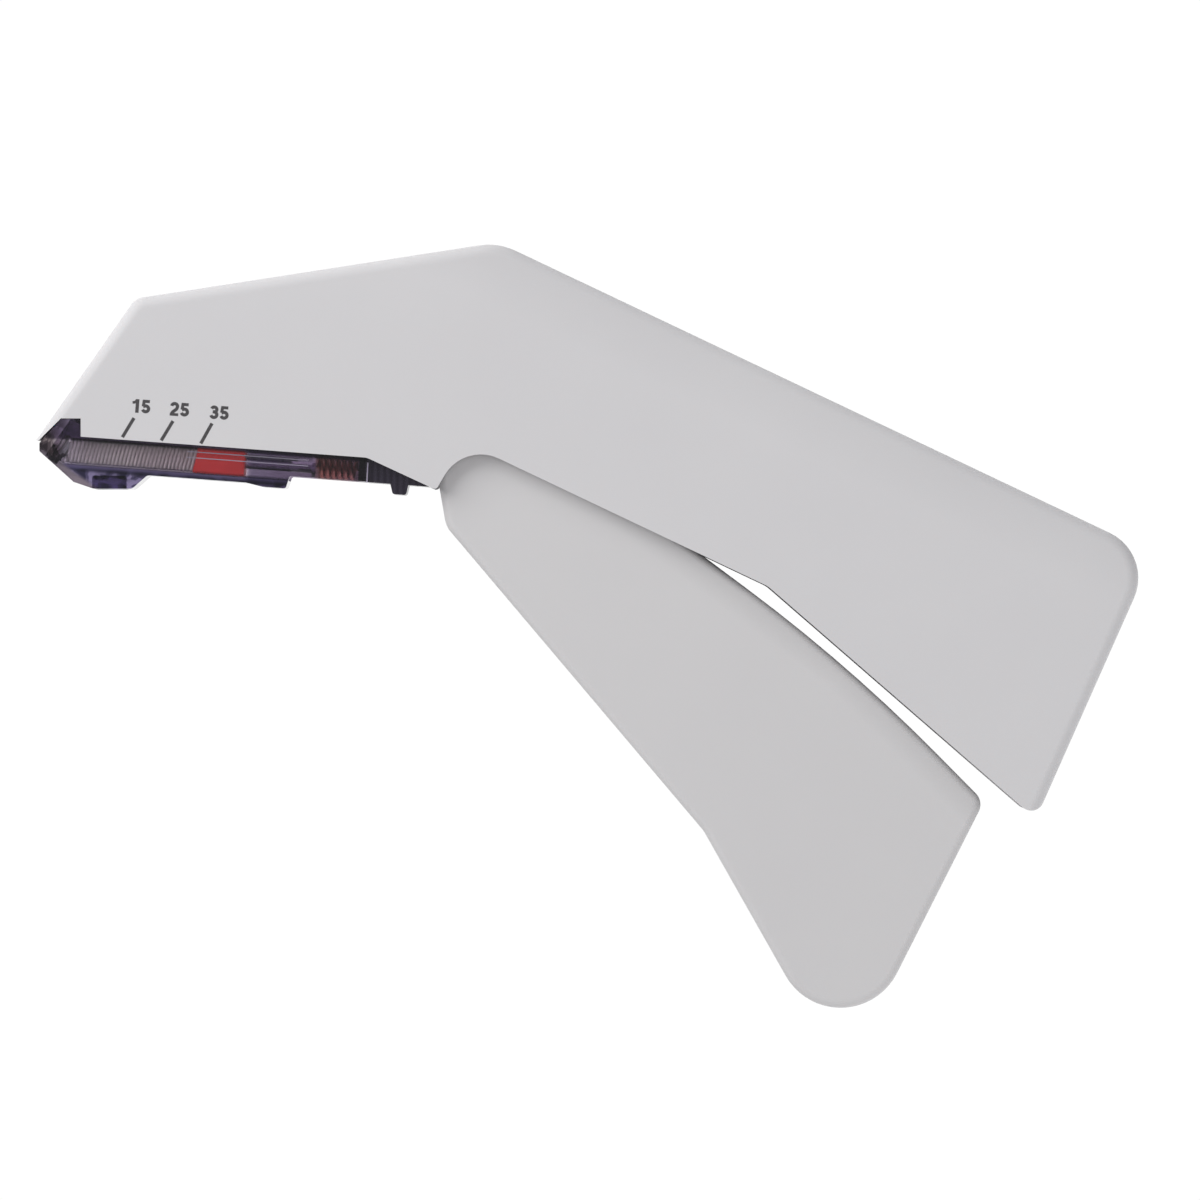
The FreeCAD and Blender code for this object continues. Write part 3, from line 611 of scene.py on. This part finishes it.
def staple_path(crown_centre, leg_way):
    """The middle line of one staple: leg, bend, crown, bend, leg."""
    half = staple_crown / 2 - staple_wire / 2
    bend = staple_bend
    across = Vector((0.0, 0.0, 1.0))
    start = crown_centre + leg_way * (staple_wire / 2)
    leg = leg_way * (staple_leg - staple_wire / 2)
    path = []
    for side in (-1.0, 1.0):
        corner_centre = start + across * (side * (half - bend)) + leg_way * bend
        arc = []
        for step in range(staple_bend_steps + 1):
            turn = math.radians(90.0 * step / staple_bend_steps)
            out = corner_centre + across * (side * bend * math.cos(turn))
            arc.append(out - leg_way * (bend * math.sin(turn)))
        end = start + across * (side * half) + leg
        part = [end, end - leg_way * staple_foot] + arc
        if side > 0:
            part.reverse()
        path.extend(part)
    return path


def staple_mesh(crown_centre, leg_way):
    path = staple_path(crown_centre, leg_way)
    forward = Vector((0.0, 0.0, 1.0)).cross(leg_way).normalized()
    return tube(path, staple_wire / 2, staple_sides, forward)


def build_stack():
    """The row of staples."""
    lean = math.tan(math.radians(staple_lean))
    pieces = []
    for i in range(staple_count):
        place = stack_front - i * staple_pitch - staple_wire / 2
        head = track(place, crown_depth)
        foot = track(place + staple_leg * lean, crown_depth + staple_leg)
        leg_way = (foot - head).normalized()
        jitter = Vector((0.0, 0.0, random.uniform(-crown_jitter, crown_jitter) * MM))
        pieces.append(staple_mesh(head + jitter, leg_way))
    points, faces = gather(pieces)
    stack = new_mesh("staple_row", points, faces, wire_steel, "housing")
    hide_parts("staple_stack")
    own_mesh(stack)


def build_loaded_staple():
    """The waiting staple."""
    down = direction(front_normal + 90.0)
    head = in_frame(front_normal, driver_reach, exit_depth - legs_inside - staple_leg)
    points, faces = staple_mesh(head, down)
    piece = new_mesh("waiting_staple", points, faces, wire_steel, "housing")
    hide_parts("loaded_staple")
    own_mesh(piece)


def coil_path(start, axis, radius, turns, steps):
    """A helix along an axis, with some steps in each turn."""
    length = axis.length
    axis = axis.normalized()
    side = Vector((0.0, 0.0, 1.0))
    over = axis.cross(side).normalized()
    path = []
    for i in range(int(turns * steps) + 1):
        turn = i / steps
        centre = start + axis * (length * (turn / turns))
        path.append(ring_point(centre, side, over, radius, 2.0 * math.pi * turn))
    return path


def build_follower_spring():
    """The coil behind the follower's stem."""
    clear = spring_wire / 2 + spring_gap
    rear = track(spring_rear + clear, stem_depth)
    front = track(spring_front - clear, stem_depth)
    axis = front - rear
    path = coil_path(rear, axis, spring_radius, spring_turns, spring_steps)
    points, faces = tube(path, spring_wire / 2, spring_sides, axis.normalized())
    spring = new_mesh("follower_coil", points, faces, spring_steel)
    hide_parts("follower_spring")
    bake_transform(spring)


def build_return_spring():
    """Torsion coil, with a leg on the post and a leg in the trigger."""
    turns = return_turns + return_extra_angle / 360.0
    count = int(turns * return_steps)
    height = return_pitch * turns
    coil = []
    for i in range(count + 1):
        share = i / count
        out = direction(90.0 - 360.0 * turns * share)
        coil.append(out * return_radius + Vector((0.0, 0.0, return_base + height * share)))
    first_way = Vector((1.0, 0.0, 0.0))
    radial = direction(90.0 - return_extra_angle)
    last_way = Vector((radial.y, -radial.x, 0.0))
    path = [coil[0] - first_way * return_leg, coil[0] - first_way * return_bend]
    path.extend(coil)
    path.extend([coil[-1] + last_way * return_bend, coil[-1] + last_way * return_leg])
    radius = return_wire / 2 * return_wire_share
    points, faces = tube(path, radius, return_sides, Vector((0.0, 0.0, 1.0)))
    spring = new_mesh("torsion_coil", points, faces, steel)
    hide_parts("return_spring")
    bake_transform(spring)


# Printed scale on the left shell

def stroke(path, width, level):
    """A stroke of one width along a path in the plane of the print, square at its ends."""
    left = []
    right = []
    for i, here in enumerate(path):
        back = (here - path[i - 1]).normalized() if i > 0 else None
        ahead = (path[i + 1] - here).normalized() if i < len(path) - 1 else None
        if back is None:
            back = ahead
        if ahead is None:
            ahead = back
        way = (back + ahead).normalized()
        side = Vector((-way.y, way.x, 0.0))
        reach = width / 2 / max(sharpest_mitre, way.dot(ahead))
        left.append(here + side * reach)
        right.append(here - side * reach)
    lift = Vector((0.0, 0.0, level))
    sink = Vector((0.0, 0.0, level - print_depth))
    count = len(path)
    points = [p + lift for p in left] + [p + lift for p in right]
    points += [p + sink for p in left] + [p + sink for p in right]
    faces = []
    for i in range(count - 1):
        j = i + 1
        faces.append((i, count + i, count + j, j))
        faces.append((2 * count + i, 2 * count + j, 3 * count + j, 3 * count + i))
        faces.append((i, j, 2 * count + j, 2 * count + i))
        faces.append((count + i, 3 * count + i, 3 * count + j, count + j))
    last = count - 1
    faces.append((0, 2 * count, 3 * count, count))
    faces.append((last, count + last, 3 * count + last, 2 * count + last))
    return points, faces


def bow(centre_x, centre_y, radius_x, radius_y, first, last, steps=14):
    """Points of a stroke's arc, from one angle to another."""
    points = []
    for i in range(steps + 1):
        turn = math.radians(first + (last - first) * i / steps)
        x = centre_x + radius_x * math.cos(turn)
        y = centre_y + radius_y * math.sin(turn)
        points.append((x, y))
    return points


# Middle lines and widths of the digits' strokes, in a box 0.56 wide and 1 high
digit_strokes = {
    "1": (
        ([(0.38, 0.0), (0.38, 1.0)], 0.25),
        ([(0.08, 0.73), (0.20, 0.755), (0.28, 0.82), (0.33, 0.93)], 0.19),
    ),
    "2": (
        (
            bow(0.28, 0.70, 0.175, 0.20, 175, -20)
            + [(0.40, 0.50), (0.19, 0.28), (0.13, 0.16), (0.13, 0.11)],
            0.24,
        ),
        ([(0.02, 0.10), (0.53, 0.10)], 0.20),
    ),
    "3": (
        ([(0.20, 0.53)] + bow(0.28, 0.705, 0.16, 0.175, -90, 165), 0.235),
        ([(0.20, 0.53)] + bow(0.28, 0.32, 0.18, 0.205, 90, -165), 0.235),
    ),
    "5": (
        ([(0.51, 0.885), (0.165, 0.885), (0.13, 0.50)], 0.225),
        ([(0.13, 0.49)] + bow(0.28, 0.335, 0.185, 0.215, 130, -160), 0.235),
    ),
}


def build_number(name, text, centre, level):
    """A generic number in line with the magazine."""
    turn = math.radians(-magazine_tilt)
    start = -(digit_advance * len(text) - digit_gap) / 2
    pieces = []
    for place, digit in enumerate(text):
        for layer, (line, width) in enumerate(digit_strokes[digit]):
            path = []
            for x, y in line:
                across = (x + start + digit_advance * place) * digit_height * digit_wide
                up = (y - 0.5) * digit_height
                path.append(Vector((
                    centre.x + across * math.cos(turn) - up * math.sin(turn),
                    centre.y + across * math.sin(turn) + up * math.cos(turn),
                    0.0,
                )))
            pieces.append(stroke(path, width * digit_height, level + layer * layer_step))
    points, faces = gather(pieces)
    flat_piece(name, points, faces, ink)


def build_scale():
    level = top_face + print_lift
    for text, top, foot, centre in scale_marks:
        line = [photo_point(*top, 0.0), photo_point(*foot, 0.0)]
        points, faces = stroke(line, tick_width, level)
        flat_piece("scale_tick_" + text, points, faces, ink)
        build_number("scale_number_" + text, text, photo_point(*centre, 0.0), level)


def build_highlight_lines():
    """Painted highlight lines on the magazine's side, and a painted highlight on the end of
    its rim where it meets the end cap.
    """
    level = magazine_side + line_lift
    for name, depth, width in highlight_lines:
        ends = [track(highlight_front, depth * MM), track(highlight_rear, depth * MM)]
        line = [Vector((p.x, p.y, 0.0)) for p in ends]
        points, faces = stroke(line, width * MM, level)
        flat_piece(name, points, faces, lilac_highlight)
    joint = [photo_point(px, py, 0.0) for px, py in rim_highlight_ends_px]
    points, faces = stroke(joint, rim_highlight_width, level)
    flat_piece("rim_end_highlight", points, faces, lilac_highlight)


# Materials of the CAD nodes

node_materials = {
    "left_housing_shell": housing_white,
    "right_housing_shell": housing_white,
    "trigger": trigger_white,
    "pivot_pin": steel,
    "return_spring": steel,
    "driver_pin": steel,
    "driver_carrier": inner_white,
    "driver_plate": steel,
    "magazine": clear_purple,
    "magazine_cover": clear_purple,
    "magazine_end_cap": smoky_purple,
    "staple_rails": steel,
    "anvil_plate": steel,
    "ejector_spring": steel,
    "staple_stack": wire_steel,
    "loaded_staple": wire_steel,
    "follower": follower_red,
    "follower_stem": stem_purple,
    "follower_spring": spring_steel,
}


def finish_node(name, material):
    """A CAD node's material, with smooth shading up to its sharp edges."""
    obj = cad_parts[name]
    obj.data.materials.clear()
    obj.data.materials.append(material)
    obj.data.polygons.foreach_set("use_smooth", [True] * len(obj.data.polygons))
    smooth = obj.modifiers.new("smooth", "WEIGHTED_NORMAL")
    smooth.keep_sharp = True
    obj.data.set_sharp_from_angle(angle=math.radians(sharp_angle))


# Studio

def glow_white(name, colour, strength):
    """White for the camera, clear parts and reflections; matt white for bounce light."""
    material = bpy.data.materials.new(name)
    material.use_nodes = True
    nodes = material.node_tree.nodes
    links = material.node_tree.links
    nodes.clear()
    output = nodes.new("ShaderNodeOutputMaterial")
    matt = nodes.new("ShaderNodeBsdfDiffuse")
    matt.inputs["Color"].default_value = (*colour, 1.0)
    glow = nodes.new("ShaderNodeEmission")
    glow.inputs["Color"].default_value = (*pure_white, 1.0)
    glow.inputs["Strength"].default_value = strength
    path = nodes.new("ShaderNodeLightPath")
    seen = path.outputs["Is Camera Ray"]
    for ray in ("Is Transmission Ray", "Is Glossy Ray"):
        seen = maximum(nodes, links, seen, path.outputs[ray])
    mix = nodes.new("ShaderNodeMixShader")
    links.new(seen, mix.inputs["Fac"])
    links.new(matt.outputs["BSDF"], mix.inputs[1])
    links.new(glow.outputs["Emission"], mix.inputs[2])
    links.new(mix.outputs["Shader"], output.inputs["Surface"])
    return material


def build_floor():
    mesh = bpy.data.meshes.new("floor")
    low = -floor_half
    high = floor_half
    ring = [(low, low, 0.0), (high, low, 0.0), (high, high, 0.0), (low, high, 0.0)]
    mesh.from_pydata(ring, [], [(0, 1, 2, 3)])
    floor = bpy.data.objects.new("floor", mesh)
    bpy.context.scene.collection.objects.link(floor)
    mesh.materials.append(glow_white("floor_white", floor_matt, floor_glow))
    floor.location.z = -floor_drop


def area_light(name, place, size, power):
    """A rectangular lamp that faces the stapler."""
    data = bpy.data.lights.new(name, "AREA")
    data.shape = "RECTANGLE"
    data.size = size[0]
    data.size_y = size[1]
    data.energy = power
    obj = bpy.data.objects.new(name, data)
    obj.location = place
    aim = Vector(light_target) - Vector(place)
    obj.rotation_euler = aim.to_track_quat("-Z", "Y").to_euler()
    bpy.context.scene.collection.objects.link(obj)


def build_studio():
    world = bpy.data.worlds.new("studio")
    bpy.context.scene.world = world
    world.use_nodes = True
    back = world.node_tree.nodes["Background"]
    back.inputs["Color"].default_value = world_colour
    back.inputs["Strength"].default_value = world_strength
    area_light("key", key_place, key_size, key_power)
    area_light("fill", fill_place, fill_size, fill_power)


def build_camera():
    """Square above the stapler's left side, with the photo's frame of 180 mm."""
    data = bpy.data.cameras.new("camera")
    data.sensor_width = camera_sensor
    data.lens = camera_sensor * camera_distance / frame_width
    camera = bpy.data.objects.new("camera", data)
    middle_of_photo = photo_point(middle_px, middle_px, top_face)
    camera.location = middle_of_photo + Vector((0.0, 0.0, camera_distance))
    bpy.context.scene.collection.objects.link(camera)
    bpy.context.scene.camera = camera


for node_name, node_material in node_materials.items():
    finish_node(node_name, node_material)
build_stack()
build_loaded_staple()
build_follower_spring()
build_return_spring()
build_scale()
build_highlight_lines()
build_floor()
build_studio()
build_camera()
bpy.context.scene.view_settings.view_transform = "Standard"
